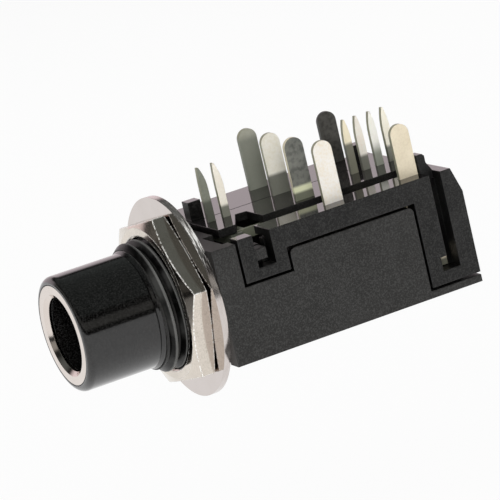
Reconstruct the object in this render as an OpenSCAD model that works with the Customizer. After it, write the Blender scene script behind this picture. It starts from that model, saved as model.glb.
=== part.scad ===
/* [Plug bore] */
// Diameter of the plug that the socket takes
plug_d = 6.35; // [6:0.05:6.6]
// Clearance of the plug in the bore, on the radius
plug_clearance = 0.075; // [0.05:0.005:0.15]
// How far each contact bump stands into the plug's path
bump_preload = 0.4; // [0.2:0.05:0.6]

/* [Nose] */
// Diameter of the smooth nose
nose_d = 10.1; // [9.6:0.1:10.4]
// Length of the smooth nose in front of the thread
nose_l = 6.65; // [5:0.05:9]
// Radius of the nose's front edge
nose_edge_r = 0.6; // [0.4:0.05:0.8]

/* [Ferrule] */
// Thickness of the ferrule's flange
ferrule_t = 0.6; // [0.4:0.05:1]
// Depth of the lead-in at the ferrule's mouth
leadin_depth = 0.35; // [0.2:0.05:0.5]
// Widening of the lead-in, on the radius
leadin_w = 0.36; // [0.2:0.02:0.5]
// Wall of the ferrule's skirt
skirt_t = 0.4; // [0.3:0.05:0.5]
// Length of the ferrule's skirt
skirt_l = 2; // [1:0.1:4]
// Plastic left between the bore and the skirt
skirt_land = 0.45; // [0.3:0.05:0.5]
// Clearance of the ferrule in the nose
ferrule_clearance = 0.02; // [0.01:0.01:0.05]

/* [Threaded bush] */
// Outer diameter of the thread
thread_d = 11.6; // [11.4:0.1:12]
// Depth of the thread, on the radius
thread_depth = 0.6; // [0.4:0.05:0.7]
// Length of the bush, from the nose to the housing
bush_l = 4.55; // [4:0.05:6]
// Length of the full-diameter register at the housing
register_l = 1.2; // [0.6:0.1:1.8]
// Chamfer at the front of the bush
bush_chamfer = 0.3; // [0.1:0.05:0.4]

/* [Nut and washer] */
// Width across the flats of the nut
nut_af = 13.8; // [13.4:0.1:15]
// Thickness of the nut
nut_t = 1.85; // [1.6:0.05:2]
// Clocking angle of the nut's first corner
nut_angle = 168; // [0:1:359]
// Depth of the front chamfer at the nut's corners
nut_chamfer = 0.5; // [0.2:0.05:0.6]
// Depth of the rear chamfer at the nut's corners
nut_rear_chamfer = 0.2; // [0.1:0.05:0.5]
// How far the nut's round faces lie inside its flats
nut_inset = 0.25; // [0.1:0.05:0.4]
// Clearance of the nut's bore round the bush
nut_clearance = 0.05; // [0.03:0.01:0.1]
// How far the washer's rim stands past the housing's sides
washer_overhang = 0.05; // [0:0.05:1]
// Thickness of the washer
washer_t = 0.6; // [0.4:0.05:0.8]
// Clearance of the washer round the bush
washer_clearance = 0.15; // [0.1:0.05:0.3]

/* [Housing] */
// Length of the housing behind its front shoulder
housing_l = 23.7; // [22.5:0.1:26]
// Width of the housing
housing_w = 17.5; // [17:0.1:19]
// Thickness of the side walls
wall = 1.4; // [1.2:0.05:1.6]
// Thickness of the front wall
front_wall = 1.7; // [1.2:0.1:1.9]
// Extra thickness of the front wall's inner pad
front_pad = 1; // [0.6:0.05:1.1]
// Thickness of the chamber floor
floor_t = 0.95; // [0.7:0.05:1.4]
// Clear height between the plug and the floor
floor_gap = 0.35; // [0.2:0.05:0.8]
// Height of the two rails under the floor
rail_h = 0.65; // [0.4:0.05:1]
// Width of each rail
rail_w = 1.5; // [1:0.1:2.5]
// How far the front wall's top lies below the cover's top
front_drop = 0.25; // [0.1:0.05:0.4]
// Radius of the top corners of the body's side tongues
tongue_r = 0.5; // [0.2:0.05:0.8]
// Gap of the seam between body and cover
seam_gap = 0.24; // [0.16:0.02:0.26]

/* [Cover] */
// Thickness of the deck that carries the terminals
deck_t = 0.7; // [0.5:0.05:1]
// Start of the deck behind the shoulder
deck_front = 3.3; // [3:0.05:3.5]
// Depth of the cover's side band below the deck's top
band_h = 1.9; // [1.6:0.05:2.4]
// Width of the ledge along the near side
ledge_w = 3; // [2.8:0.05:3.1]
// Width of the open trench beside the ledge
trench_w = 2.45; // [2.3:0.05:2.6]
// Start of the trench behind the shoulder
trench_front = 5.2; // [5:0.05:5.4]
// Solid length behind the trench
trench_rear = 2.9; // [2.6:0.05:3]
// Start of the front leg behind the shoulder
leg_front = 2.45; // [2.2:0.05:2.8]
// Length of the front leg
leg_l = 4.2; // [4:0.05:4.6]
// Height of the front leg's lower edge above the axis
leg_z = 1.3; // [1:0.05:1.6]
// Start of the leg's window behind the leg's front
window_x = 1.4; // [1.2:0.05:1.5]
// Length of the leg's window
window_l = 1.65; // [1.5:0.05:1.8]
// Height of the leg's bar under its window
window_bar = 0.95; // [0.8:0.05:1.1]
// Length of the rear block
rear_l = 4.7; // [4.6:0.05:5]
// Thickness of the rear wall
rear_wall = 0.85; // [0.6:0.05:0.9]
// Thickness of the slab under the rear block
slab_t = 0.62; // [0.5:0.02:0.8]
// Length of the top rear chamfer
chamfer_x = 0.72; // [0.4:0.02:0.8]
// Height of the top rear chamfer
chamfer_z = 2.2; // [1.5:0.1:3]
// Distance from the rear face to the rear slot
slot_rear = 1.7; // [1.5:0.05:1.8]
// Length of the rear slot along the housing
slot_l = 1.1; // [1:0.05:1.3]
// Length that the slot's foot adds towards the front
slot_foot = 0.6; // [0.4:0.05:0.7]
// Height of the slot's foot
slot_foot_h = 1.2; // [0.8:0.1:1.6]
// Height of the slot's lower end above the block's lower edge
slot_sill = 1.1; // [0.8:0.05:1.4]
// Height of the standoff nubs above the deck
nub_h = 1.6; // [1:0.1:2]
// Length and width of the standoff nubs
nub_size = [1.2, 1.25]; // [1:0.05:1.3]
// Length of the near nub's narrow head
nub_head = 0.75; // [0.6:0.05:1]

/* [Terminals] */
// Thickness of the contact sheet
sheet_t = 0.4; // [0.3:0.02:0.42]
// Width of the wide terminal blades
wide_w = 1.75; // [1.6:0.05:2]
// Width of the narrow terminal blades
narrow_w = 0.7; // [0.6:0.05:0.8]
// Length of the curved point on the narrow blades
point_l = 2; // [1.6:0.1:2.4]
// Share of the point's taper on the rear edge of the front pair
front_point = 0.85; // [0.5:0.05:0.9]
// Share of the point's taper on the rear edge of the other pairs
rear_point = 0.5; // [0.3:0.05:0.7]
// Width left at the very tip of the narrow blades
point_w = 0.15; // [0.1:0.05:0.3]
// Height of the middle terminals above the deck
middle_h = 5.4; // [4:0.1:6]
// Height of the rear wide terminals above the deck
rear_h = 4.65; // [4:0.05:6]
// Height of the narrow terminals above the deck
narrow_h = 4.8; // [4:0.1:6]
// Clearance of a terminal in its slot
slot_clearance = 0.04; // [0.02:0.01:0.08]
// Distance of the outer rows from the side faces
row_inset = 1.9; // [1.85:0.01:2]
// Offset of the narrow row from the axis
narrow_row = 0.6; // [0.5:0.05:0.7]
// Distance of the leaf terminals behind the shoulder
leaf_x = 12.15; // [12:0.05:12.35]
// Distance of the sleeve terminal behind the shoulder
sleeve_x = 12.6; // [12.4:0.05:12.8]
// Distance of the rear wide terminals from the rear face
rear_x = 3.8; // [3.7:0.05:3.85]
// Distance of the front narrow terminal behind the shoulder
front_pair_x = 4.5; // [4.4:0.05:4.6]
// Spacing of the front narrow pair
front_pair_gap = 1.45; // [1.35:0.05:1.5]
// Distance of the last narrow terminal from the rear face
last_pair_x = 1.3; // [1.25:0.05:1.4]
// Spacing of the last narrow pair
last_pair_gap = 1.3; // [1.2:0.05:1.4]
// Distance of the third narrow pair's rear blade from the rear face
third_pair_x = 3.95; // [3.9:0.05:4]
// Spacing of the third narrow pair
third_pair_gap = 1.2; // [1.1:0.05:1.3]

/* [Contacts] */
// Height of the main spring strips
spring_h = 3.2; // [2.6:0.1:3.4]
// Height of the switch leaves and fingers
leaf_h = 0.85; // [0.7:0.05:1]
// Clear height between the plug and the switch leaves
leaf_gap = 0.2; // [0.15:0.05:0.3]
// Clear height between the switch leaves and the deck
head_gap = 0.1; // [0.08:0.02:0.2]
// Opening of each switch contact
switch_gap = 0.45; // [0.4:0.05:0.5]
// Gap left where two contacts touch
touch_gap = 0.02; // [0.01:0.01:0.04]
// Thickness of the insulating cards
card_t = 0.8; // [0.6:0.05:0.9]
// Clearance of a strip in a card's notch
notch_clearance = 0.06; // [0.04:0.01:0.1]

/* [Hidden] */
$fn = 96;

// Small overlap that lets a cut pass a face
cut = 0.1;

// The jack's axis is X, the shoulder that meets the panel is at x = 0, and the terminals point up
bore_r = plug_d / 2 + plug_clearance;
nose_front = -(bush_l + nose_l);
ferrule_r = nose_d / 2 - nose_edge_r;
skirt_r = bore_r + skirt_land;
thread_r = thread_d / 2;
thread_root_r = thread_r - thread_depth;

// Levels above the axis
leaf_z = bore_r + leaf_gap;
deck_under = leaf_z + leaf_h + head_gap;
deck_top = deck_under + deck_t;
front_top = deck_top - front_drop;
band_z = deck_top - band_h;
floor_top = -bore_r - floor_gap;
floor_under = floor_top - floor_t;
bottom = floor_under - rail_h;
slab_top = bottom + slab_t;
spring_z = spring_h / 2;

// Places across the housing
half_w = housing_w / 2;
inner_w = half_w - wall;
outer_row = half_w - row_inset;
inner_row = outer_row / 3;
ledge_y = half_w - ledge_w;
deck_y = ledge_y - trench_w;

// Places along the housing
rear_front = housing_l - rear_l;
chamber_rear = housing_l - rear_wall;
trench_end = housing_l - trench_rear;
leg_rear = leg_front + leg_l;
window_rear = leg_front + window_x + window_l;
rear_col = housing_l - rear_x;
front_pair = [front_pair_x, front_pair_x + front_pair_gap];
third_pair = [housing_l - third_pair_x - third_pair_gap, housing_l - third_pair_x];
last_pair = [housing_l - last_pair_x - last_pair_gap, housing_l - last_pair_x];

// Each main spring has a straight stretch where its card rides, and a bump that meets the plug
bump_y = plug_d / 2 - bump_preload + sheet_t / 2;
tip_neck = 0.65;
bump_l = 0.6;
ride_l = 1.6;
ride_y = 5.1;
sleeve_ride_run = 3.95;
sleeve_bump_run = 1.9;
tip_ride_run = 3.55;
tip_bump_run = 1.3;
ring_ride_run = 1.2;
ring_bump_run = 2.3;
sleeve_ride_x = sleeve_x - sleeve_ride_run;
sleeve_bump_x = sleeve_ride_x - sleeve_bump_run;
tip_ride_x = rear_col - tip_ride_run;
tip_bump_x = tip_ride_x - tip_bump_run;
ring_ride_x = leaf_x + ring_ride_run;
ring_bump_x = ring_ride_x - ring_bump_run;
free_end = 1;
free_rise = 1.1;
root_tail = 0.85;
shoulder_run = 1.1;
jog_run = 0.9;
leaf_tail = 0.45;
leaf_root = wide_w / 2;
hook_reach = 0.95;

// The cards stand clear of the plug below them and of the deck above them
card_side = 0.8;
card_foot = 0.6;
card_gap = 0.05;
card_low = bore_r + card_gap;
card_top = leaf_z + leaf_h - card_gap;

// Places of the standoff nubs
nub_inset = 0.4;
front_nub_side = 2.3;
far_nub_side = 3.1;
front_nub = [deck_front + nub_inset, narrow_row + front_nub_side];
far_nub = [rear_col + wide_w / 2 - nub_inset, narrow_row + far_nub_side];
near_nub = [rear_col + wide_w / 2 + 2 * slot_clearance, cut - inner_w];

// Colours of the real materials
plastic = "#2b2b2b";
gloss_plastic = "#1c1c1e";
nickel = "#cfcac4";
tinned = "#b9b5a6";
card_plastic = "#e6dfc8";

// Sheet metal followed along a line, as a profile that is extruded upwards
function direction(a, b) = (b - a) / norm(b - a);
function side_of(v) = [-v.y, v.x];
function mitre(n1, n2) = (n1 + n2) / (1 + n1 * n2);
function edge_offset(p, i) =
    i == 0 ? side_of(direction(p[0], p[1])) :
    i == len(p) - 1 ? side_of(direction(p[i - 1], p[i])) :
    mitre(side_of(direction(p[i - 1], p[i])), side_of(direction(p[i], p[i + 1])));
function edge_line(p, d) = [for (i = [0 : len(p) - 1]) p[i] + d * edge_offset(p, i)];
function reversed(p) = [for (i = [len(p) - 1 : -1 : 0]) p[i]];

module strip(points, low, high) {
    translate([0, 0, low])
        linear_extrude(high - low)
            polygon(concat(edge_line(points, sheet_t / 2), reversed(edge_line(points, -sheet_t / 2))));
}

// A solid turned round the jack's axis, from a profile of [radius, place along the axis]
module turned() {
    rotate([0, 90, 0])
        rotate_extrude()
            children();
}

// A block from its low corner to its high corner
module block(low, high) {
    translate(low)
        cube(high - low);
}

// A blade with a round top, its flat facing sideways
module wide_blade(x, y, low, tip) {
    r = wide_w / 2;
    block([x - r, y - sheet_t / 2, low], [x + r, y + sheet_t / 2, tip - r]);
    translate([x, y + sheet_t / 2, tip - r])
        rotate([90, 0, 0])
            cylinder(r = r, h = sheet_t);
}

// Radius of an edge that leaves the blade's side smoothly and runs in to its point
function curve_r(run) = (run * run + point_l * point_l) / (2 * run);

// A slim blade, its flat facing sideways, whose two edges curve in to the point
module narrow_blade(x, y, low, tip, share) {
    r = narrow_w / 2;
    rear_r = curve_r(share * (narrow_w - point_w));
    front_r = curve_r((1 - share) * (narrow_w - point_w));
    block([x - r, y - sheet_t / 2, low], [x + r, y + sheet_t / 2, tip - point_l]);
    intersection() {
        block([x - r, y - sheet_t / 2, tip - point_l - cut], [x + r, y + sheet_t / 2, tip]);
        translate([x + r - rear_r, y + sheet_t, tip - point_l])
            rotate([90, 0, 0])
                cylinder(r = rear_r, h = 2 * sheet_t);
        translate([x - r + front_r, y + sheet_t, tip - point_l])
            rotate([90, 0, 0])
                cylinder(r = front_r, h = 2 * sheet_t);
    }
}

module wide_slot(x, y) {
    translate([x, y, deck_top])
        cube([wide_w + 2 * slot_clearance, sheet_t + 2 * slot_clearance, 4 * deck_t], center = true);
}

module narrow_slot(x) {
    translate([x, narrow_row, deck_top])
        cube([narrow_w + 2 * slot_clearance, sheet_t + 2 * slot_clearance, 4 * deck_t], center = true);
}

module both_sides() {
    children();
    mirror([0, 1, 0])
        children();
}

// Profile of nose and bush, with a round front edge and a seat for the ferrule
module barrel_profile() {
    arc_steps = 8;
    edge = [for (i = [0 : arc_steps])
        let (a = 90 * i / arc_steps)
        [ferrule_r + nose_edge_r * sin(a), nose_front + nose_edge_r * (1 - cos(a))]];
    polygon(concat(
        [[bore_r, nose_front + ferrule_t], [ferrule_r, nose_front + ferrule_t], [ferrule_r, nose_front]],
        edge,
        [[nose_d / 2, -bush_l],
         [thread_root_r - bush_chamfer, -bush_l],
         [thread_root_r, -bush_l + bush_chamfer],
         [thread_root_r, -register_l],
         [thread_r, -register_l],
         [thread_r, 0],
         [nose_d / 2, 0],
         [nose_d / 2, front_wall / 2],
         [bore_r, front_wall / 2]]));
}

module skirt_groove() {
    turned()
        translate([skirt_r - ferrule_clearance, nose_front + ferrule_t - cut])
            square([skirt_t + 2 * ferrule_clearance, skirt_l + cut + ferrule_clearance]);
}

// One rounded top corner of a tongue
module tongue_corner(x, top) {
    translate([x, half_w, top - tongue_r])
        rotate([90, 0, 0])
            cylinder(r = tongue_r, h = half_w - inner_w);
}

// Raised stretch of the body's side wall that fits under the cover's band
module side_tongue() {
    front = leg_rear + seam_gap;
    rear = rear_front - seam_gap;
    top = band_z - seam_gap;
    block([front, inner_w, bottom], [rear, half_w, top - tongue_r]);
    block([front + tongue_r, inner_w, bottom], [rear - tongue_r, half_w, top]);
    tongue_corner(front + tongue_r, top);
    tongue_corner(rear - tongue_r, top);
}

// Side wall of the body, with the low stretch that the cover's front leg drops over
module body_side() {
    block([0, inner_w, bottom], [leg_front - seam_gap, half_w, front_top]);
    block([0, inner_w, bottom], [rear_front - seam_gap, half_w, leg_z - seam_gap]);
    side_tongue();
    block([0, inner_w - seam_gap, bottom], [housing_l, half_w, slab_top]);
    leg_skin();
}

// Thin wall behind the front leg, with the lug that snaps into the leg's window
module leg_skin() {
    skin_t = 0.8;
    lug_l = 1;
    lug_h = 0.95;
    lug_rise = 0.6;
    lug_drop = 0.2;
    lug_gap = 0.06;
    lug_x = leg_front + window_x + lug_gap;
    lug_z = leg_z + window_bar + lug_rise;
    skin_y = inner_w - seam_gap;
    difference() {
        block([0, skin_y - skin_t, floor_top], [leg_rear + seam_gap, skin_y, deck_under - seam_gap]);
        block([lug_x + lug_l + lug_gap, skin_y - skin_t - cut, leg_z + window_bar],
              [window_rear, skin_y + cut, deck_under]);
        block([lug_x - lug_gap, skin_y - skin_t - cut, lug_z + lug_h + lug_gap],
              [window_rear, skin_y + cut, deck_under]);
    }
    block([0, skin_y - cut, floor_top], [leg_rear + seam_gap, inner_w + cut, leg_z - seam_gap]);
    block([lug_x, skin_y - cut, lug_z], [lug_x + lug_l, half_w - lug_drop, lug_z + lug_h]);
}

module housing_body() {
    color(plastic)
    difference() {
        union() {
            turned()
                barrel_profile();
            block([0, -inner_w - cut, floor_under], [front_wall, inner_w + cut, front_top]);
            block([0, -deck_y, floor_under], [front_wall + front_pad, inner_w, front_top]);
            block([0, -inner_w - cut, floor_under], [chamber_rear - seam_gap, inner_w + cut - seam_gap, floor_top]);
            both_sides()
                body_side();
        }
        turned()
            translate([0, nose_front - cut])
                square([bore_r, front_wall + front_pad - nose_front + 2 * cut]);
        skirt_groove();
        block([-cut, rail_w - half_w, bottom - cut], [housing_l + cut, half_w - rail_w, floor_under]);
        block([rear_front - seam_gap, inner_w - seam_gap, slab_top], [housing_l + cut, half_w + cut, deck_top]);
        block([rear_front - seam_gap, -half_w - cut, slab_top], [housing_l + cut, seam_gap - inner_w, deck_top]);
        block([chamber_rear - seam_gap, -half_w - cut, slab_top], [housing_l + cut, half_w + cut, deck_top]);
    }
}

// Front leg of the cover: a clip with a window that is open to the top
module front_leg() {
    difference() {
        block([leg_front, inner_w, leg_z], [leg_rear, half_w, deck_top]);
        block([leg_front + window_x, inner_w - cut, leg_z + window_bar],
              [leg_front + window_x + window_l, half_w + cut, deck_top + cut]);
    }
}

// Upright slot in the side of the rear block, with a wider foot
module rear_slot() {
    slot_low = slab_top + seam_gap + slot_sill;
    slot_x = housing_l - slot_rear - slot_l;
    block([slot_x, inner_w - cut, slot_low], [slot_x + slot_l, half_w + cut, deck_top + cut]);
    block([slot_x - slot_foot, inner_w - cut, slot_low], [slot_x + slot_l, half_w + cut, slot_low + slot_foot_h]);
}

// Window in the deck ahead of the trench, with one slanted side
module pit() {
    pit_rear = 2.4;
    slant = 1.7;
    translate([0, 0, deck_under - cut])
        linear_extrude(deck_t + 2 * cut)
            polygon([[trench_front - 0.3, -deck_y - cut], [trench_front - 0.3 + slant, 0.3 * narrow_row],
                     [trench_front + pit_rear, 0], [trench_front + pit_rear, -deck_y - cut]]);
}

module nub(place) {
    block([place.x, place.y, deck_top - cut], [place.x + nub_size.x, place.y + nub_size.y, deck_top + nub_h]);
}

// The near nub: a narrow head on a sloped foot
module near_post(place) {
    shoulder = nub_h / 2;
    round = 0.2;
    translate([place.x, place.y + nub_size.y, deck_top])
        rotate([90, 0, 0])
            linear_extrude(nub_size.y)
                polygon([[0, -cut], [nub_size.x, -cut], [nub_size.x, 0], [nub_head, shoulder],
                         [nub_head, nub_h - round], [nub_head - round, nub_h], [0, nub_h]]);
}

module terminal_cover() {
    groove = 0.15;
    color(gloss_plastic)
    difference() {
        union() {
            block([deck_front, -deck_y, deck_under], [housing_l, half_w, deck_top]);
            block([trench_end, -half_w, deck_under], [housing_l, half_w, deck_top]);
            block([window_rear, -half_w, deck_under], [housing_l, -ledge_y, deck_top]);
            both_sides() {
                block([leg_rear - cut, inner_w, band_z], [housing_l, half_w, deck_top]);
                front_leg();
                block([rear_front, inner_w, slab_top + seam_gap], [housing_l, half_w, deck_top]);
            }
            block([chamber_rear, -half_w, slab_top + seam_gap], [housing_l, half_w, deck_top]);
            nub(front_nub);
            nub(far_nub);
            near_post(near_nub);
        }
        pit();
        both_sides()
            rear_slot();
        block([deck_front - cut, inner_row - groove / 2, deck_top - groove],
              [rear_front, inner_row + groove / 2, deck_top + cut]);
        wide_slot(sleeve_x, -outer_row);
        wide_slot(rear_col, -outer_row);
        wide_slot(rear_col, outer_row);
        for (y = [-inner_row, inner_row, outer_row])
            wide_slot(leaf_x, y);
        for (x = concat(front_pair, third_pair, last_pair))
            narrow_slot(x);
        translate([housing_l, 0, deck_top])
            rotate([90, 0, 0])
                linear_extrude(housing_w + 2 * cut, center = true)
                    polygon([[-chamfer_x, 0], [-chamfer_x, cut], [cut, cut], [cut, -chamfer_z], [0, -chamfer_z]]);
    }
}

module nose_ferrule() {
    lip_r = bore_r + leadin_w;
    fit_r = ferrule_r - ferrule_clearance;
    color(nickel)
    turned()
        polygon([[bore_r, nose_front + leadin_depth], [lip_r, nose_front], [fit_r, nose_front],
                 [fit_r, nose_front + ferrule_t], [skirt_r + skirt_t, nose_front + ferrule_t],
                 [skirt_r + skirt_t, nose_front + ferrule_t + skirt_l], [skirt_r, nose_front + ferrule_t + skirt_l],
                 [skirt_r, nose_front + ferrule_t], [bore_r, nose_front + ferrule_t]]);
}

module hex_nut() {
    corner_r = nut_af / sqrt(3);
    face_r = nut_af / 2 - nut_inset;
    reach_r = corner_r + cut;
    past = (reach_r - face_r) / (corner_r - face_r);
    bore = thread_r + nut_clearance;
    lead = 0.15;
    color(nickel)
    translate([-washer_t - nut_t, 0, 0])
    difference() {
        intersection() {
            rotate([nut_angle, 0, 0])
                rotate([0, 90, 0])
                    rotate([0, 0, 90])
                        cylinder(r = corner_r, h = nut_t, $fn = 6);
            turned()
                polygon([[0, 0], [face_r, 0], [reach_r, nut_chamfer * past],
                         [reach_r, nut_t - nut_rear_chamfer * past], [face_r, nut_t], [0, nut_t]]);
        }
        turned()
            polygon([[0, -cut], [bore + lead + cut, -cut], [bore, lead], [bore, nut_t - lead],
                     [bore + lead + cut, nut_t + cut], [0, nut_t + cut]]);
    }
}

module flat_washer() {
    color(nickel)
    turned()
        translate([thread_r + washer_clearance, -washer_t])
            square([half_w + washer_overhang - thread_r - washer_clearance, washer_t]);
}

// Main springs: the strip leaves its terminal, steps in to its card and bends to the plug
module sleeve_spring() {
    color(tinned) {
        wide_blade(sleeve_x, -outer_row, -spring_z, deck_top + middle_h);
        strip([[sleeve_x + root_tail, -outer_row], [sleeve_x - shoulder_run, -outer_row],
               [sleeve_ride_x + ride_l, -ride_y], [sleeve_ride_x, -ride_y],
               [sleeve_bump_x + bump_l, -bump_y], [sleeve_bump_x, -bump_y],
               [sleeve_bump_x - free_end, -bump_y - free_rise]], -spring_z, spring_z);
    }
}

module tip_spring() {
    tail_h = 1.6;
    tail_l = 1.8;
    tip_bump_y = bump_y - tip_neck;
    color(tinned) {
        wide_blade(rear_col, -outer_row, -spring_z, deck_top + rear_h);
        strip([[rear_col + root_tail, -outer_row], [rear_col - shoulder_run, -outer_row],
               [tip_ride_x + ride_l, -ride_y], [tip_ride_x, -ride_y],
               [tip_bump_x + bump_l, -tip_bump_y], [tip_bump_x, -tip_bump_y],
               [tip_bump_x - free_end, -tip_bump_y - free_rise]], -spring_z, spring_z);
        block([rear_col, -outer_row - sheet_t / 2, -spring_z - tail_h],
              [rear_col + tail_l, sheet_t / 2 - outer_row, cut - spring_z]);
    }
}

module ring_spring() {
    color(tinned) {
        wide_blade(rear_col, outer_row, -spring_z, deck_top + rear_h);
        strip([[rear_col + root_tail, outer_row], [rear_col - shoulder_run, outer_row],
               [rear_col - shoulder_run - jog_run, ride_y], [ring_ride_x, ride_y],
               [ring_bump_x + bump_l, bump_y], [ring_bump_x, bump_y],
               [ring_bump_x - free_end, bump_y + free_rise]], -spring_z, spring_z);
    }
}

// Switch leaves: level strips above the plug, each with its own terminal
module switch_leaf(y, points) {
    color(tinned) {
        wide_blade(leaf_x, y, leaf_z, deck_top + middle_h);
        strip(points, leaf_z, leaf_z + leaf_h);
    }
}

module sleeve_switch_leaf() {
    switch_leaf(-inner_row, [[leaf_x + leaf_root, -inner_row], [front_pair[0] + leaf_tail, -inner_row]]);
}

module tip_switch_leaf() {
    switch_leaf(inner_row, [[leaf_x - leaf_root, inner_row], [third_pair[1] - leaf_tail, inner_row]]);
}

module ring_switch_leaf() {
    switch_leaf(outer_row, [[leaf_x - leaf_root, outer_row], [leaf_x + shoulder_run, outer_row],
                            [leaf_x + shoulder_run + jog_run, ride_y], [last_pair[1] - leaf_tail - sheet_t, ride_y]]);
}

// Fixed fingers: the straight one meets the leaf's near face, the hooked one reaches round its end
function finger_line(x, leaf_y, s) =
    [[x, narrow_row], [x, leaf_y - s * (sheet_t / 2 + touch_gap)]];
function hook_line(x, leaf_y, s, gap, reach) =
    [[x, narrow_row], [x, leaf_y + s * (sheet_t + gap)], [x + reach, leaf_y + s * (sheet_t + gap)]];

module finger(x, points, share) {
    color(tinned) {
        narrow_blade(x, narrow_row, leaf_z, deck_top + narrow_h, share);
        strip(points, leaf_z, leaf_z + leaf_h);
    }
}

module sleeve_break_contact() {
    finger(front_pair[1], finger_line(front_pair[1], -inner_row, -1), front_point);
}

module sleeve_make_contact() {
    finger(front_pair[0], hook_line(front_pair[0], -inner_row, -1, switch_gap, hook_reach), front_point);
}

module ring_break_contact() {
    finger(last_pair[0], finger_line(last_pair[0], ride_y, 1), rear_point);
}

module ring_make_contact() {
    finger(last_pair[1], hook_line(last_pair[1], ride_y, 1, switch_gap, -hook_reach), rear_point);
}

module tip_make_contact() {
    finger(third_pair[0], finger_line(third_pair[0], inner_row - switch_gap, 1), rear_point);
}

module tip_break_contact() {
    finger(third_pair[1], hook_line(third_pair[1], inner_row, 1, touch_gap, -hook_reach), rear_point);
}

// Insulating cards: upright plates that hang on a leaf and ride on a main spring
module card_notch(y, low, high) {
    w = sheet_t + 2 * notch_clearance;
    translate([y - w / 2, low])
        square([w, high - low]);
}

// The card lies across the jack; its profile is drawn in [across, up]
module card(x, ride, leaf) {
    s = ride < leaf ? 1 : -1;
    color(card_plastic)
    translate([x, 0, 0])
        rotate([90, 0, 90])
            linear_extrude(card_t)
                difference() {
                    union() {
                        translate([ride - card_side, spring_z - card_foot])
                            square([2 * card_side, card_top - spring_z + card_foot]);
                        translate([min(ride, leaf + s * card_side), card_low])
                            square([abs(leaf + s * card_side - ride), card_top - card_low]);
                    }
                    card_notch(ride, spring_z - card_foot - cut, spring_z + notch_clearance);
                    card_notch(leaf, leaf_z - notch_clearance, card_top + cut);
                }
}

module sleeve_card() {
    card(sleeve_ride_x + (ride_l - card_t) / 2, -ride_y, -inner_row);
}

module tip_card() {
    card(tip_ride_x + (ride_l - card_t) / 2, -ride_y, inner_row);
}

module ring_card() {
    card(tip_ride_x + (ride_l - card_t) / 2, ride_y, ride_y);
}

housing_body();
terminal_cover();
nose_ferrule();
hex_nut();
flat_washer();
sleeve_spring();
ring_spring();
tip_spring();
sleeve_switch_leaf();
ring_switch_leaf();
tip_switch_leaf();
sleeve_break_contact();
sleeve_make_contact();
ring_break_contact();
ring_make_contact();
tip_break_contact();
tip_make_contact();
sleeve_card();
ring_card();
tip_card();
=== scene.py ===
"""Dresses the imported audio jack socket: finishes, bush thread, bending contact strips, studio and camera."""

import logging
import math
from collections.abc import Callable, Sequence
from dataclasses import dataclass, field, replace
from enum import Enum
from functools import cache

import bmesh
import bpy
from mathutils import Matrix, Vector


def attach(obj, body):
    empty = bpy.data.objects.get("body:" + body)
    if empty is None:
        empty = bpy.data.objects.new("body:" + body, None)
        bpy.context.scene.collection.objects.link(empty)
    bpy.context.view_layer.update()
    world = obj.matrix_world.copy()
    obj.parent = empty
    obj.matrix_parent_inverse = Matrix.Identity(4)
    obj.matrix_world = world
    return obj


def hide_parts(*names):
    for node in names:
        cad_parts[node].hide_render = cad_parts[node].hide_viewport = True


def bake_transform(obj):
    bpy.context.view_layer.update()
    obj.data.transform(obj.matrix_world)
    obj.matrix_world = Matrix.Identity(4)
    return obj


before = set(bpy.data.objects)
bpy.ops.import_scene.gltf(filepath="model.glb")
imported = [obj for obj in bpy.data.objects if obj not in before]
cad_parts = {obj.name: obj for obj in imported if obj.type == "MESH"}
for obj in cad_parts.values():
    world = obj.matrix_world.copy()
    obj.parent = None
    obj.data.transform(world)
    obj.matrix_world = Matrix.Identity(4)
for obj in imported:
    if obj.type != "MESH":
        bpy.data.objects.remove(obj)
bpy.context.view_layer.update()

MM = 0.001
LOG = logging.getLogger("audio_jack")

MASK_SAMPLES = 6
NOISE_MIDDLE = 0.5

Colour = tuple[float, float, float]
Stops = tuple[float, float]


class Body(str, Enum):
    """The bodies of the frame; the thread rides on the housing, and the cards' nodes bear the card names."""

    HOUSING = "housing"
    SLEEVE_CARD = "sleeve_card"
    RING_CARD = "ring_card"
    TIP_CARD = "tip_card"


class Slot(str, Enum):
    """The record's material slots; no piece here is given one."""

    BODY = "body_plastic"
    CONTACT = "tinned_bronze"


class SheetEdge(Enum):
    """How the edges of a metal piece were left, or the painted glints and shadow on them."""

    PLATED = "plated"
    SHEARED = "sheared"
    # Painted highlight: glints along the edges.
    BURNISHED = "burnished"
    # Painted highlight: glint streaks on a rim.
    STAMPED = "stamped"
    # Painted shadow: a dark ring at a seam.
    GRIMED = "grimed"


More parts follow.
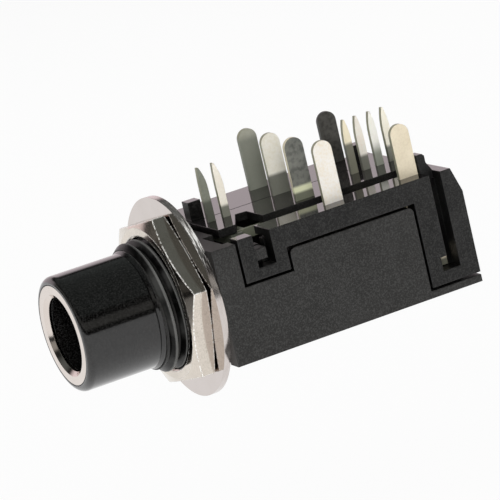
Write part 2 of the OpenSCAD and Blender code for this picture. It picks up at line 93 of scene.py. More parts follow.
@dataclass(frozen=True)
class Value:
    """A number socket in a node tree, with arithmetic that adds Math nodes."""

    socket: bpy.types.NodeSocket

    def _math(self, operation: str, other: "Value | float", swapped: bool = False) -> "Value":
        """Add one Math node.

        Args:
            operation: Blender's name of the operation.
            other: the second operand.
            swapped: whether other is the first operand instead.

        Returns:
            The node's result.
        """
        tree = self.socket.id_data
        node = tree.nodes.new("ShaderNodeMath")
        node.operation = operation
        mine, theirs = (1, 0) if swapped else (0, 1)
        tree.links.new(self.socket, node.inputs[mine])
        if isinstance(other, Value):
            tree.links.new(other.socket, node.inputs[theirs])
        else:
            node.inputs[theirs].default_value = other
        return Value(node.outputs[0])

    def __add__(self, other: "Value | float") -> "Value":
        """Return self + other."""
        return self._math("ADD", other)

    __radd__ = __add__

    def __sub__(self, other: "Value | float") -> "Value":
        """Return self - other."""
        return self._math("SUBTRACT", other)

    def __rsub__(self, other: float) -> "Value":
        """Return other - self."""
        return self._math("SUBTRACT", other, swapped=True)

    def __mul__(self, other: "Value | float") -> "Value":
        """Return self * other."""
        return self._math("MULTIPLY", other)

    __rmul__ = __mul__

    def at_most(self, limit: float) -> "Value":
        """Return the smaller of self and the limit."""
        return self._math("MINIMUM", limit)

    def __abs__(self) -> "Value":
        """Return self without its sign."""
        return self._math("ABSOLUTE", 0.0)


Input = Value | bpy.types.NodeSocket | float | Sequence[float]


class NodeWriter:
    """Writes the nodes of one material or world."""

    def __init__(self, owner: bpy.types.Material | bpy.types.World) -> None:
        """Start from an empty tree.

        Args:
            owner: the material or world to write.
        """
        owner.use_nodes = True
        self.tree = owner.node_tree
        self.tree.nodes.clear()

    def node(self, kind: str, settings: dict[str, object] | None = None, **sockets: Input) -> bpy.types.Node:
        """Add any node.

        Args:
            kind: Blender's type of the node.
            settings: properties, set before the sockets.
            **sockets: values or links, by the socket's name with _ for a space, or by its identifier.

        Returns:
            The new node.
        """
        node = self.tree.nodes.new(kind)
        for name, value in (settings or {}).items():
            setattr(node, name, value)
        by_name = {s.name.replace(" ", "_"): s for s in reversed(node.inputs) if s.enabled}
        by_identifier = {s.identifier.replace(" ", "_"): s for s in node.inputs}
        for name, value in sockets.items():
            target = by_identifier[name] if name in by_identifier else by_name[name]
            if isinstance(value, Value):
                self.tree.links.new(value.socket, target)
            elif isinstance(value, bpy.types.NodeSocket):
                self.tree.links.new(value, target)
            elif isinstance(value, tuple) and target.type == "RGBA" and len(value) == 3:
                target.default_value = (*value, 1.0)
            else:
                target.default_value = value
        return node

    def coordinates(self) -> bpy.types.NodeSocket:
        """Return the piece's own coordinates, in metres."""
        return self.node("ShaderNodeTexCoord").outputs["Object"]

    def along(self, axis: str) -> Value:
        """Return one component of the piece's own coordinates."""
        return Value(self.node("ShaderNodeSeparateXYZ", Vector=self.coordinates()).outputs[axis])

    def noise(self, grain: float, detail: float = 3.0, stretch: Sequence[float] = (1.0, 1.0, 1.0)) -> Value:
        """Return smooth noise from 0 to 1.

        Args:
            grain: the size of a grain, in metres.
            detail: how many finer layers are added.
            stretch: how much the pattern is packed along each axis.

        Returns:
            The noise.
        """
        place = self.node("ShaderNodeMapping", Vector=self.coordinates(), Scale=tuple(stretch))
        texture = self.node("ShaderNodeTexNoise", Vector=place.outputs[0], Scale=1 / grain, Detail=detail)
        return Value(texture.outputs["Fac"])

    def ramp(self, value: Value, low: float, high: float, to: Stops = (0.0, 1.0)) -> Value:
        """Return a smooth step.

        Args:
            value: what is mapped.
            low: the value at which the step starts.
            high: the value at which it ends.
            to: what the step goes from and to.

        Returns:
            The mapped value.
        """
        node = self.node("ShaderNodeMapRange", {"interpolation_type": "SMOOTHSTEP"}, Value=value,
                         From_Min=low, From_Max=high, To_Min=to[0], To_Max=to[1])
        return Value(node.outputs["Result"])

    def mix(self, share: Value, first: Colour | bpy.types.NodeSocket, second: Colour) -> bpy.types.NodeSocket:
        """Return a mix of two colours.

        Args:
            share: how much of the second colour shows.
            first: the first colour.
            second: the second colour.

        Returns:
            The mixed colour.
        """
        node = self.node("ShaderNodeMix", {"data_type": "RGBA"}, Factor_Float=share,
                         A_Color=first, B_Color=second)
        return next(s for s in node.outputs if s.identifier == "Result_Color")

    def rounded(self, radius: float) -> bpy.types.NodeSocket:
        """Return a normal that rounds the edges over a small radius."""
        return self.node("ShaderNodeBevel", {"samples": MASK_SAMPLES}, Radius=radius).outputs["Normal"]

    def edge(self, rounded: bpy.types.NodeSocket, bite: Stops = (0.97, 0.75)) -> Value:
        """Return how far the rounded normal has left the flat one, from 0 to 1.

        Args:
            rounded: the rounded normal.
            bite: the agreement of both normals at which the mask starts, and at which it is full.

        Returns:
            The mask, which is 0 on flats and grows at edges.
        """
        flat = self.node("ShaderNodeNewGeometry").outputs["Normal"]
        node = self.node("ShaderNodeVectorMath", {"operation": "DOT_PRODUCT"})
        self.tree.links.new(rounded, node.inputs[0])
        self.tree.links.new(flat, node.inputs[1])
        return self.ramp(Value(node.outputs["Value"]), *bite)

    def radius(self) -> Value:
        """Return the distance from the jack's axis, in metres."""
        across = self.node("ShaderNodeVectorMath", {"operation": "MULTIPLY"})
        self.tree.links.new(self.coordinates(), across.inputs[0])
        across.inputs[1].default_value = (0.0, 1.0, 1.0)
        length = self.node("ShaderNodeVectorMath", {"operation": "LENGTH"})
        self.tree.links.new(across.outputs["Vector"], length.inputs[0])
        return Value(length.outputs["Value"])

    def facing(self, axis: str) -> Value:
        """Return how squarely the surface faces along one axis, either way, from 0 to 1."""
        flat = self.node("ShaderNodeNewGeometry").outputs["True Normal"]
        return abs(Value(self.node("ShaderNodeSeparateXYZ", Vector=flat).outputs[axis]))

    def openness(self, reach: float) -> Value:
        """Return 1 on open surfaces and less in hollows.

        Args:
            reach: how far away a neighbour still closes a place in, in metres.

        Returns:
            The mask.
        """
        node = self.node("ShaderNodeAmbientOcclusion", {"samples": MASK_SAMPLES}, Distance=reach)
        return Value(node.outputs["AO"])

    def bump(self, height: Value, depth: float, normal: bpy.types.NodeSocket) -> bpy.types.NodeSocket:
        """Return a normal with surface relief.

        Args:
            height: the relief, from 0 to 1.
            depth: what 1 stands for, in metres.
            normal: the normal that the relief is laid on.

        Returns:
            The normal.
        """
        node = self.node("ShaderNodeBump", Height=height, Distance=depth, Strength=1.0, Normal=normal)
        return node.outputs[0]

    def surface(self, shader: bpy.types.Node) -> None:
        """Send a shader to a material's output."""
        self.node("ShaderNodeOutputMaterial", Surface=shader.outputs[0])


@dataclass(frozen=True)
class MouldedPlastic:
    """Black moulded plastic, satin on its walls and glossy where it was polished in the mould, with edges
    lighter partly by wearing and partly by painted highlight, and painted shade in its hollows.
    """

    name: str
    satin_colour: Colour
    gloss_colour: Colour
    satin_roughness: float
    gloss_roughness: float
    gloss_axis: str
    gloss_from: float
    gloss_to: float
    gloss_coat: float
    gloss_flats: str = ""
    flat_stops: Stops = (0.5, 0.9)
    ior: float = 1.45
    edge_colour: Colour = (0.05, 0.0495, 0.048)
    edge_radius: float = 0.13 * MM
    # How much lighter the edges are: partly wearing, partly painted highlight.
    wear: float = 0.5
    # Painted highlight: how much lighter the outermost radius is, between these radii.
    crest: float = 0.0
    crest_from: float = 5.62 * MM
    crest_to: float = 5.75 * MM
    speckle: float = 0.7
    speckle_stops: Stops = (0.4, 0.7)
    grain: float = 0.11 * MM
    grain_depth: float = 0.012 * MM
    grain_roughness: float = 0.12
    gloss_grain: float = 0.0
    gloss_speckle: float = 0.0
    cloud: float = 3.0 * MM
    cloud_stops: Stops = (0.4, 0.75)
    cloud_share: float = 0.15
    cloud_roughness: float = 0.04
    # Painted shade in hollows: how far neighbours reach, where it starts and is full, and its colour.
    hollow_reach: float = 2.2 * MM
    hollow_stops: Stops = (0.88, 0.35)
    hollow_colour: Colour = (0.002, 0.002, 0.002)

    def material(self) -> bpy.types.Material:
        """Return the finished material."""
        made = bpy.data.materials.new(self.name)
        nodes = NodeWriter(made)
        gloss = nodes.ramp(nodes.along(self.gloss_axis), self.gloss_from, self.gloss_to)
        if self.gloss_flats:
            gloss = gloss * nodes.ramp(nodes.facing(self.gloss_flats), *self.flat_stops)
        satin = 1 - gloss
        grain = nodes.noise(self.grain)
        cloud = nodes.noise(self.cloud)
        rounded = nodes.rounded(self.edge_radius)
        base = nodes.mix(gloss, self.satin_colour, self.gloss_colour)
        haze = nodes.ramp(cloud, *self.cloud_stops, (0.0, self.cloud_share)) * satin
        clouded = nodes.mix(haze, base, self.edge_colour)
        strength = self.speckle * satin + self.gloss_speckle * gloss
        freckles = nodes.ramp(grain, *self.speckle_stops) * strength
        speckled = nodes.mix(freckles, clouded, self.edge_colour)
        # Lighter edges: partly wearing, partly painted highlight where edges catch the light.
        worn = nodes.mix(nodes.edge(rounded) * self.wear * satin, speckled, self.edge_colour)
        # Painted highlight: a lighter stripe on the outermost radius, where the thread's crests catch the
        # light.
        if self.crest:
            crest = nodes.ramp(nodes.radius(), self.crest_from, self.crest_to) * self.crest
            worn = nodes.mix(crest, worn, self.edge_colour)
        # Painted shade: the colour darkens towards black in hollows and between parts, where shade falls.
        hollow = nodes.ramp(nodes.openness(self.hollow_reach), *self.hollow_stops)
        colour = nodes.mix(hollow, worn, self.hollow_colour)
        roughness = (self.satin_roughness * satin + self.gloss_roughness * gloss
                     + (grain - NOISE_MIDDLE) * self.grain_roughness * satin
                     + (cloud - NOISE_MIDDLE) * self.cloud_roughness)
        normal = nodes.bump(grain * (satin + self.gloss_grain * gloss), self.grain_depth, rounded)
        nodes.surface(nodes.node("ShaderNodeBsdfPrincipled", Base_Color=colour, Roughness=roughness,
                                 Normal=normal, IOR=self.ior, Coat_Weight=gloss * self.gloss_coat,
                                 Coat_Roughness=self.gloss_roughness))
        return made


@dataclass(frozen=True)
class PlatedMetal:
    """Bright plated metal with fine wiping marks and a slight tarnish, with bare edges, painted glints on its
    edges or rim, a painted shadow ring, a painted glint strip, or painted reflection and shade toward its
    lower end.
    """

    name: str
    colour: Colour
    tarnish_colour: Colour
    roughness: float
    metallic: float = 1.0
    tarnish: float = 0.25
    edge_radius: float = 0.05 * MM
    marks: float = 0.06 * MM
    marks_depth: float = 0.0006 * MM
    marks_detail: float = 2.0
    marks_roughness: float = 0.06
    marks_stretch: tuple[float, float, float] = (1.0, 1.0, 1.0)
    cloud: float = 1.6 * MM
    cloud_detail: float = 4.0
    cloud_stops: Stops = (0.3, 0.75)
    tarnish_roughness: float = 0.12
    edges: SheetEdge = SheetEdge.PLATED
    edge_colour: Colour = (0.07, 0.07, 0.052)
    edge_stops: Stops = (0.3, 0.6)
    # The painted shadow ring: the radii where it starts and is full, and how much rougher it is.
    grime_from: float = 4.33 * MM
    grime_to: float = 4.37 * MM
    grime_roughness: float = 0.3
    # Painted highlight on edges and rims: its colour, grain and stops.
    burnish_colour: Colour = (0.9, 0.89, 0.86)
    burnish_grain: float = 0.25 * MM
    burnish_stops: Stops = (0.36, 0.54)
    rim_stretch: tuple[float, float, float] = (2.5, 0.3, 0.3)
    rim_stops: Stops = (0.4, 0.62)
    rim_least: float = 0.12
    rim_matte: float = 0.8
    rim_roughness: float = 0.12
    # Heights between which the rim's painted glints are strongest, and how they fade.
    rubbed_z: tuple[float, float] = (3.4 * MM, 7.6 * MM)
    rubbed_fade: float = 1.2 * MM
    edge_bite: Stops = (0.97, 0.75)
    mottle: float = 0.0
    mottle_grain: float = 0.2 * MM
    mottle_stops: Stops = (0.4, 0.7)
    # Painted highlight: a bright strip above the lower end, and its colour.
    band_top: float = 0.0
    band_colour: Colour = (0.82, 0.84, 0.58)
    # Painted reflection and shade: the plate darkens toward its lower end below this height.
    foot_top: float = 0.0
    foot_fade: float = 0.4 * MM
    foot_share: float = 0.88
    foot_colour: Colour = (0.1, 0.108, 0.085)

    def material(self) -> bpy.types.Material:
        """Return the finished material."""
        made = bpy.data.materials.new(self.name)
        nodes = NodeWriter(made)
        marks = nodes.noise(self.marks, self.marks_detail, self.marks_stretch)
        cloud = nodes.noise(self.cloud, self.cloud_detail)
        rounded = nodes.rounded(self.edge_radius)
        share = (nodes.ramp(cloud, *self.cloud_stops) * self.tarnish
                 + nodes.ramp(nodes.noise(self.mottle_grain), *self.mottle_stops) * self.mottle)
        colour = nodes.mix(share, self.colour, self.tarnish_colour)
        roughness = (self.roughness + (marks - NOISE_MIDDLE) * self.marks_roughness
                     + share * self.tarnish_roughness)
        metallic: Value | float = self.metallic
        if self.edges is SheetEdge.SHEARED:
            sheared = 1 - nodes.ramp(nodes.facing("Y"), *self.edge_stops)
            colour = nodes.mix(sheared, colour, self.edge_colour)
        elif self.edges is SheetEdge.BURNISHED:
            # Painted highlight: bright patches along the edges stand for glints, and the metal is made matte
            # there.
            patches = nodes.ramp(nodes.noise(self.burnish_grain), *self.burnish_stops)
            rubbed = nodes.edge(rounded, self.edge_bite) * patches
            colour = nodes.mix(rubbed, colour, self.burnish_colour)
            metallic = self.metallic * (1 - rubbed)
        elif self.edges is SheetEdge.STAMPED:
            # Painted highlight: bright streaks on the rim, strongest between two heights, stand for glints;
            # the rim is also rougher.
            torn = 1 - nodes.ramp(nodes.facing("X"), *self.edge_stops)
            streaks = nodes.ramp(nodes.noise(self.burnish_grain, stretch=self.rim_stretch), *self.rim_stops)
            low, high = self.rubbed_z
            height = nodes.along("Z")
            from_below = nodes.ramp(height, low, low + self.rubbed_fade)
            from_above = nodes.ramp(height, high, high - self.rubbed_fade)
            rubbed = self.rim_least + (1 - self.rim_least) * (from_below * from_above)
            bright = torn * rubbed * streaks
            colour = nodes.mix(bright, colour, self.burnish_colour)
            metallic = self.metallic * (1 - bright * self.rim_matte)
            roughness = roughness + torn * self.rim_roughness
        elif self.edges is SheetEdge.GRIMED:
            # Painted shadow: a black ring at the outer radius stands for the shadow in the gap between the
            # ferrule and the nose.
            grime = nodes.ramp(nodes.radius(), self.grime_from, self.grime_to)
            colour = nodes.mix(grime, colour, self.edge_colour)
            metallic = self.metallic * (1 - grime)
            roughness = roughness + grime * self.grime_roughness
        if self.band_top:
            # Painted highlight: a bright strip above the lower end stands for a glint.
            band = nodes.ramp(nodes.along("Z"), self.band_top, self.band_top - self.foot_fade)
            colour = nodes.mix(band, colour, self.band_colour)
        if self.foot_top:
            # Painted reflection and shade: the plate darkens toward its lower end, for the dark reflections
            # and shade there.
            foot = nodes.ramp(nodes.along("Z"), self.foot_top, self.foot_top - self.foot_fade)
            colour = nodes.mix(foot * self.foot_share, colour, self.foot_colour)
        normal = nodes.bump(marks, self.marks_depth, rounded)
        nodes.surface(nodes.node("ShaderNodeBsdfPrincipled", Base_Color=colour, Roughness=roughness,
                                 Normal=normal, Metallic=metallic))
        return made


@dataclass(frozen=True)
class CardPlastic:
    """Natural insulating plastic of the cards, slightly waxy with darker clouds."""

    name: str = "card_natural"
    colour: Colour = (0.72, 0.67, 0.55)
    cloud_colour: Colour = (0.6, 0.54, 0.42)
    cloud: float = 0.7 * MM
    cloud_stops: Stops = (0.35, 0.7)
    grain: float = 0.08 * MM
    grain_depth: float = 0.003 * MM
    grain_roughness: float = 0.15
    edge_radius: float = 0.06 * MM
    roughness: float = 0.42

    def material(self) -> bpy.types.Material:
        """Return the finished material."""
        made = bpy.data.materials.new(self.name)
        nodes = NodeWriter(made)
        cloud = nodes.noise(self.cloud)
        grain = nodes.noise(self.grain)
        colour = nodes.mix(nodes.ramp(cloud, *self.cloud_stops), self.colour, self.cloud_colour)
        roughness = self.roughness + (grain - NOISE_MIDDLE) * self.grain_roughness
        normal = nodes.bump(grain, self.grain_depth, nodes.rounded(self.edge_radius))
        nodes.surface(nodes.node("ShaderNodeBsdfPrincipled", Base_Color=colour, Roughness=roughness,
                                 Normal=normal))
        return made


Finish = MouldedPlastic | PlatedMetal | CardPlastic


@cache
def material_of(finish: Finish) -> bpy.types.Material:
    """Return the one material of a finish."""
    return finish.material()


def dress(node: str, finish: Finish) -> None:
    """Give a CAD node its finish.

    Args:
        node: the node's name.
        finish: its finish.
    """
    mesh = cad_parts[node].data
    mesh.materials.clear()
    mesh.materials.append(material_of(finish))
    LOG.info("dressed %s in %s", node, finish.name)


def new_piece(name: str, build: Callable[[bmesh.types.BMesh], None], material: bpy.types.Material,
              smooth_below: float = math.radians(35)) -> bpy.types.Object:
    """Make a piece from a bmesh.

    Args:
        name: the piece's name.
        build: what shapes the bmesh, in metres in the part's own frame.
        material: the piece's finish.
        smooth_below: the largest angle between faces that shade as one surface.

    Returns:
        The new object, at the origin.
    """
    shape = bmesh.new()
    build(shape)
    mesh = bpy.data.meshes.new(name)
    shape.to_mesh(mesh)
    shape.free()
    mesh.shade_smooth()
    mesh.set_sharp_from_angle(angle=smooth_below)
    mesh.materials.append(material)
    piece = bpy.data.objects.new(name, mesh)
    bpy.context.scene.collection.objects.link(piece)
    LOG.info("made %s with %d faces", name, len(mesh.polygons))
    return piece


@dataclass
class Housing:
    """The two mouldings and the ferrule in the nose."""

    body: MouldedPlastic
    cover: MouldedPlastic
    ferrule: PlatedMetal

    def build(self) -> None:
        """Dress the mouldings and the ferrule."""
        dress("housing_body", self.body)
        dress("terminal_cover", self.cover)
        dress("nose_ferrule", self.ferrule)


@dataclass
class BushThread:
    """The metric thread on the bush, as a helical ridge on the body's root cylinder."""

    finish: MouldedPlastic
    crest_r: float = 5.76 * MM
    root_r: float = 5.16 * MM
    pitch: float = 1.0 * MM
    crest_w: float = 0.16 * MM
    root_w: float = 0.86 * MM
    start_x: float = -5.72 * MM
    turns: float = 5.0
    front_x: float = -4.1 * MM
    rear_x: float = -1.25 * MM
    lead_l: float = 0.5 * MM
    lead_share: float = 0.3
    steps_per_turn: int = 72

    def build(self) -> None:
        """Make the ridge and let it ride on the housing."""
        ridge = new_piece("bush_thread", self._shape, material_of(self.finish))
        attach(ridge, Body.HOUSING.value)

    def _shape(self, shape: bmesh.types.BMesh) -> None:
        """Sweep the thread's profile along its helix.

        Args:
            shape: the bmesh to fill.
        """
        outline = [(-self.root_w / 2, self.root_r), (-self.crest_w / 2, self.crest_r),
                   (self.crest_w / 2, self.crest_r), (self.root_w / 2, self.root_r)]
        corners = [shape.verts.new((self.start_x + x, 0.0, r)) for x, r in outline]
        section = shape.faces.new(corners)
        steps = round(self.turns * self.steps_per_turn)
        advance = self.pitch / self.steps_per_turn
        bmesh.ops.spin(shape, geom=[section, *section.edges, *section.verts], cent=(0, 0, 0), axis=(1, 0, 0),
                       dvec=(advance, 0, 0), angle=2 * math.pi * self.turns, steps=steps, use_duplicate=False)
        for x, towards in ((self.front_x, 1.0), (self.rear_x, -1.0)):
            everything = [*shape.verts, *shape.edges, *shape.faces]
            bmesh.ops.bisect_plane(shape, geom=everything, plane_co=(x, 0, 0), plane_no=(towards, 0, 0),
                                   clear_inner=True)
            bmesh.ops.holes_fill(shape, edges=[edge for edge in shape.edges if edge.is_boundary])
        for vert in shape.verts:
            radius = math.hypot(vert.co.y, vert.co.z)
            share = self.lead_share + (1 - self.lead_share) * (vert.co.x - self.front_x) / self.lead_l
            allowed = self.root_r + (self.crest_r - self.root_r) * share
            if radius > allowed:
                bmesh.ops.scale(shape, vec=(1, allowed / radius, allowed / radius), verts=[vert])
        bmesh.ops.recalc_face_normals(shape, faces=shape.faces[:])


@dataclass
class NutAndWasher:
    """The bright fasteners on the bush."""

    nut: PlatedMetal
    washer: PlatedMetal

    def build(self) -> None:
        """Dress both pieces."""
        dress("hex_nut", self.nut)
        dress("flat_washer", self.washer)


@dataclass(frozen=True)
class BendingStrip:
    """A contact strip that bends between its terminal and the card that it carries."""

    node: str
    card: Body
    fixed_x: float
    moved_x: float
    finish: PlatedMetal
    cuts: int = 8
    merge_within: float = 1e-7
    flat_within: float = math.radians(1)

    def build(self) -> None:
        """Make a copy cut across in place of the rigid node, which is hidden."""
        strip = new_piece(f"{self.node}_bending", self._shape, material_of(self.finish))
        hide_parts(self.node)
        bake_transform(strip)

    def _shape(self, shape: bmesh.types.BMesh) -> None:
        """Copy the node's mesh, merged, and cut it across so that it can bend.

        Args:
            shape: the bmesh to fill.
        """
        shape.from_mesh(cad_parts[self.node].data)
        bmesh.ops.remove_doubles(shape, verts=shape.verts[:], dist=self.merge_within)
        bmesh.ops.dissolve_limit(shape, angle_limit=self.flat_within, verts=shape.verts[:],
                                 edges=shape.edges[:])
        for i in range(self.cuts + 1):
            x = self.fixed_x + (self.moved_x - self.fixed_x) * i / self.cuts
            everything = [*shape.verts, *shape.edges, *shape.faces]
            bmesh.ops.bisect_plane(shape, geom=everything, plane_co=(x, 0, 0), plane_no=(1, 0, 0))


@dataclass
class Contacts:
    """Springs, switch leaves, fixed fingers and their cards."""

    fingers: dict[str, PlatedMetal]
    card: CardPlastic
    strips: list[BendingStrip] = field(default_factory=list)

    def build(self) -> None:
        """Dress the fixed fingers and cards, and make the strips that bend."""
        for name, finish in self.fingers.items():
            dress(name, finish)
        for body in (Body.SLEEVE_CARD, Body.RING_CARD, Body.TIP_CARD):
            dress(body.value, self.card)
        for strip in self.strips:
            strip.build()


@dataclass
class Studio:
    """A plain pale floor, soft lamps, a room for the metal to reflect and the camera."""

    floor_z: float = -45 * MM
    floor_half: float = 3.0
    floor_colour: Colour = (0.9, 0.9, 0.9)
    floor_white: float = 0.88
    screen_colour: Colour = (0.93, 0.81, 0.84)
    screen_away: Stops = (-0.1, 0.55)
    screen_rise: Stops = (0.5, 0.33)
    screen_across: Stops = (-0.55, -0.45)
    stripe_colour: Colour = (0.32, 0.31, 0.29)
    stripe_foot: Stops = (0.12, 0.16)
    stripe_top: Stops = (0.42, 0.34)
    ceiling_colour: Colour = (0.122, 0.133, 0.128)
    ceiling_rise: Stops = (0.5, 0.62)
    dim_colour: Colour = (0.012, 0.012, 0.012)
    lens: float = 252.0
    sensor: float = 36.0
    clip_near: float = 0.01
    clip_far: float = 20.0
    eye: tuple[float, float, float] = (-106.0 * MM, -267.65 * MM, 69.47 * MM)
    right: tuple[float, float, float] = (0.87571, -0.42706, -0.22526)
    up: tuple[float, float, float] = (0.29899, 0.11333, 0.94750)
    back: tuple[float, float, float] = (-0.37911, -0.89709, 0.22693)
    lamps: tuple[tuple[str, tuple[float, float, float], float, float], ...] = (
        ("overhead", (0.10, 0.30, 0.50), 0.50, 2.6),
        ("front_fill", (-0.25, -0.55, 0.20), 0.40, 3.6),
    )

    def build(self) -> None:
        """Set up floor, lamps, world and camera."""
        bpy.context.scene.view_settings.view_transform = "Standard"
        self._floor()
        self._world()
        for name, place, size, power in self.lamps:
            self._lamp(name, place, size, power)
        self._camera()

    def _floor(self) -> None:
        """Make the floor, which shows white and keeps the object's soft shadow."""
        made = bpy.data.materials.new("studio_floor")
        nodes = NodeWriter(made)
        path = nodes.node("ShaderNodeLightPath").outputs
        seen = (Value(path["Is Camera Ray"]) + Value(path["Is Glossy Ray"])
                + Value(path["Is Transmission Ray"])).at_most(1.0)
        paint = nodes.node("ShaderNodeBsdfDiffuse", Color=self.floor_colour)
        white = nodes.node("ShaderNodeEmission", Color=(1.0, 1.0, 1.0), Strength=1.0)
        mixed = nodes.node("ShaderNodeMixShader", Fac=seen * self.floor_white)
        nodes.tree.links.new(paint.outputs[0], mixed.inputs[1])
        nodes.tree.links.new(white.outputs[0], mixed.inputs[2])
        nodes.surface(mixed)

        def sheet(shape: bmesh.types.BMesh) -> None:
            """Lay one square."""
            bmesh.ops.create_grid(shape, x_segments=1, y_segments=1, size=self.floor_half,
                                  matrix=Matrix.Translation((0, 0, self.floor_z)))

        new_piece("studio_floor", sheet, made)

    def _world(self) -> None:
        """Make the room: a pale screen behind the object, dim walls with a stripe, and a grey ceiling."""
        world = bpy.data.worlds.new("studio_world")
        bpy.context.scene.world = world
        nodes = NodeWriter(world)
        direction = nodes.node("ShaderNodeSeparateXYZ",
                               Vector=nodes.node("ShaderNodeTexCoord").outputs["Generated"]).outputs
        across, away, rise = (Value(direction[axis]) for axis in "XYZ")
        screen = (nodes.ramp(away, *self.screen_away) * nodes.ramp(rise, *self.screen_rise)
                  * nodes.ramp(across, *self.screen_across))
        stripe = nodes.ramp(rise, *self.stripe_foot) * nodes.ramp(rise, *self.stripe_top)
        ceiling = nodes.ramp(rise, *self.ceiling_rise)
        walls = nodes.mix(stripe, self.dim_colour, self.stripe_colour)
        room = nodes.mix(ceiling, walls, self.ceiling_colour)
        colour = nodes.mix(screen, room, self.screen_colour)
        backdrop = nodes.node("ShaderNodeBackground", Color=colour, Strength=1.0)
        nodes.node("ShaderNodeOutputWorld", Surface=backdrop.outputs[0])

    def _lamp(self, name: str, place: tuple[float, float, float], size: float, power: float) -> None:
        """Hang one soft lamp that faces the object.

        Args:
            name: the lamp's name.
            place: where it hangs, in metres.
            size: the side of its square, in metres.
            power: its power, in watts.
        """
        light = bpy.data.lights.new(name, "AREA")
        light.size = size
        light.energy = power
        lamp = bpy.data.objects.new(name, light)
        lamp.visible_glossy = False
        lamp.location = place
        lamp.rotation_euler = (-Vector(place)).to_track_quat("-Z", "Y").to_euler()
        bpy.context.scene.collection.objects.link(lamp)

    def _camera(self) -> None:
        """Set the camera at the photograph's place."""
        data = bpy.data.cameras.new("camera")
        data.sensor_fit = "AUTO"
        data.sensor_width = self.sensor
        data.lens = self.lens
        data.clip_start = self.clip_near
        data.clip_end = self.clip_far
        camera = bpy.data.objects.new("camera", data)
        turn = Matrix((self.right, self.up, self.back)).transposed().to_4x4()
        camera.matrix_world = Matrix.Translation(self.eye) @ turn
        bpy.context.scene.collection.objects.link(camera)
        bpy.context.scene.camera = camera


BODY_PLASTIC = MouldedPlastic(
    "body_charcoal", satin_colour=(0.0094, 0.0089, 0.0081), gloss_colour=(0.0006, 0.0005, 0.0004),
    satin_roughness=0.46, gloss_roughness=0.1, gloss_axis="X", gloss_from=-4.1 * MM, gloss_to=-4.2 * MM,
    gloss_coat=0.5, gloss_grain=0.05, gloss_speckle=0.32)
COVER_PLASTIC = MouldedPlastic(
    "cover_charcoal", satin_colour=(0.003, 0.0029, 0.0028), gloss_colour=(0.012, 0.0105, 0.0114),
    satin_roughness=0.42, gloss_roughness=0.05, gloss_axis="Z", gloss_from=5.02 * MM, gloss_to=5.08 * MM,
    gloss_coat=0.25, gloss_flats="Z", ior=1.38, speckle=0.5)
# Painted highlight on the thread: its light edge colour, lighter edges and lighter outermost radius make its
# crests look lit.
THREAD_PLASTIC = MouldedPlastic(
    "thread_black", satin_colour=(0.002, 0.002, 0.0019), gloss_colour=(0.002, 0.002, 0.0019),
    satin_roughness=0.22, gloss_roughness=0.22, gloss_axis="X", gloss_from=-4.5 * MM, gloss_to=-4.6 * MM,
    gloss_coat=0.0, ior=1.18, edge_radius=0.08 * MM, edge_colour=(0.3, 0.3, 0.29), wear=0.6, crest=0.3,
    speckle=0.0, grain_depth=0.002 * MM, hollow_reach=0.5 * MM)
# The nut's edges carry painted glints.
NICKEL = PlatedMetal(
    "bright_nickel", (0.74, 0.675, 0.60), (0.50, 0.455, 0.39), roughness=0.09, edges=SheetEdge.BURNISHED,
    edge_radius=0.16 * MM, edge_bite=(0.997, 0.965), tarnish=0.25, mottle=0.4, mottle_grain=0.12 * MM,
    marks_depth=0.001 * MM)
# The washer's rim carries painted glint streaks.
WASHER_NICKEL = PlatedMetal(
    "mirror_nickel", (0.63, 0.575, 0.55), (0.52, 0.47, 0.43), roughness=0.06, tarnish=0.2,
    edges=SheetEdge.STAMPED, burnish_grain=0.3 * MM)
# The ferrule's edge colour is the painted shadow in its gap to the nose.
FERRULE_NICKEL = PlatedMetal(
    "ferrule_nickel", (0.74, 0.67, 0.62), (0.60, 0.54, 0.49), roughness=0.12, edges=SheetEdge.GRIMED,
    edge_colour=(0.01, 0.01, 0.01))
BRIGHT_TIN = PlatedMetal(
    "bright_tin", (0.89, 0.86, 0.81), (0.82, 0.72, 0.55), roughness=0.36, metallic=0.25, tarnish=0.4,
    mottle=0.35, marks_stretch=(1.0, 1.0, 0.15), edges=SheetEdge.SHEARED, edge_colour=(0.30, 0.30, 0.21))
PALE_METALLIC = 0.05


def tin(name: str, colour: Colour, tarnish_colour: Colour, **changes: float | Colour) -> PlatedMetal:
    """Return a tin plate of one terminal, matte and mottled, with bare sheared edges.

    Args:
        name: the finish's name.
        colour: its clean colour.
        tarnish_colour: its tarnished colour.
        **changes: other fields in which it differs from the bright tin.

    Returns:
        The finish.
    """
    return replace(BRIGHT_TIN, name=name, colour=colour, tarnish_colour=tarnish_colour, **changes)


# The terminals are one tinned bronze. Their colours differ partly by plating tone and partly as painted light
# and shade: far terminals are made paler to make up for the light they miss, and others darker for the shade
# and dark reflections on them.
WARM_TIN = tin("warm_tin", (0.82, 0.73, 0.56), (0.70, 0.61, 0.45), foot_top=-2.5 * MM, foot_fade=0.25 * MM)
DARK_TIN = tin("dark_tin", (0.085, 0.082, 0.074), (0.028, 0.027, 0.024), mottle=0.6, mottle_grain=0.35 * MM,
               edge_colour=(0.05, 0.05, 0.045))
MILKY_TIN = tin("milky_tin", (0.96, 0.93, 0.84), (0.84, 0.79, 0.63), foot_top=7.1 * MM)
# This plate has a painted glint strip and is painted darker toward its lower end.
GREY_TIN = tin("grey_tin", (0.22, 0.225, 0.20), (0.085, 0.088, 0.08), mottle=0.6, mottle_grain=0.5 * MM,
               foot_top=5.92 * MM, foot_fade=0.3 * MM, band_top=6.45 * MM, edge_colour=(0.70, 0.64, 0.48))
DULL_TIN = tin("dull_tin", (0.44, 0.44, 0.37), (0.36, 0.36, 0.29), foot_top=10.2 * MM, foot_fade=0.9 * MM,
               foot_share=0.8, foot_colour=(0.20, 0.212, 0.178))

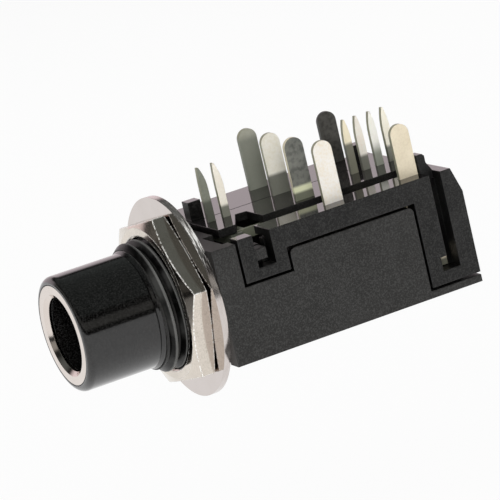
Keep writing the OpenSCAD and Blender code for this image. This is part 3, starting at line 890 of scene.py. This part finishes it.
FINGERS = {
    "sleeve_make_contact": tin("olive_tin", (0.26, 0.27, 0.22), (0.19, 0.195, 0.16), foot_top=7.1 * MM),
    "sleeve_break_contact": tin("ivory_tin", (0.97, 0.92, 0.81), (0.88, 0.81, 0.68), foot_top=6.3 * MM,
                                metallic=PALE_METALLIC),
    "tip_make_contact": tin("cream_tin", (0.97, 0.89, 0.68), (0.93, 0.82, 0.58), foot_top=8.0 * MM,
                            metallic=PALE_METALLIC),
    "tip_break_contact": tin("pale_tin", (0.96, 0.93, 0.84), (0.93, 0.82, 0.70), foot_top=6.6 * MM),
    "ring_break_contact": tin("white_tin", (0.97, 0.96, 0.90), (0.90, 0.89, 0.77), foot_top=7.4 * MM,
                              foot_fade=1.4 * MM, foot_colour=(0.22, 0.24, 0.19), metallic=PALE_METALLIC),
    "ring_make_contact": tin("straw_tin", (0.97, 0.94, 0.82), (0.93, 0.86, 0.66), foot_top=6.7 * MM,
                             metallic=PALE_METALLIC),
}
STRIPS = [
    BendingStrip("sleeve_spring", Body.SLEEVE_CARD, 11.45 * MM, 10.0 * MM, BRIGHT_TIN),
    BendingStrip("tip_spring", Body.TIP_CARD, 18.75 * MM, 17.65 * MM, WARM_TIN),
    BendingStrip("ring_spring", Body.RING_CARD, 18.75 * MM, 17.65 * MM, DARK_TIN),
    BendingStrip("sleeve_switch_leaf", Body.SLEEVE_CARD, 11.15 * MM, 10.0 * MM, GREY_TIN),
    BendingStrip("tip_switch_leaf", Body.TIP_CARD, 13.15 * MM, 16.65 * MM, MILKY_TIN),
    BendingStrip("ring_switch_leaf", Body.RING_CARD, 14.2 * MM, 16.65 * MM, DULL_TIN),
]


def main() -> None:
    """Build the socket's sub-assemblies in order, then the studio."""
    logging.basicConfig(level=logging.INFO, format="%(name)s: %(message)s")
    Housing(BODY_PLASTIC, COVER_PLASTIC, FERRULE_NICKEL).build()
    BushThread(THREAD_PLASTIC).build()
    NutAndWasher(NICKEL, WASHER_NICKEL).build()
    Contacts(FINGERS, CardPlastic(), STRIPS).build()
    Studio().build()


if __name__ == "__main__":
    main()
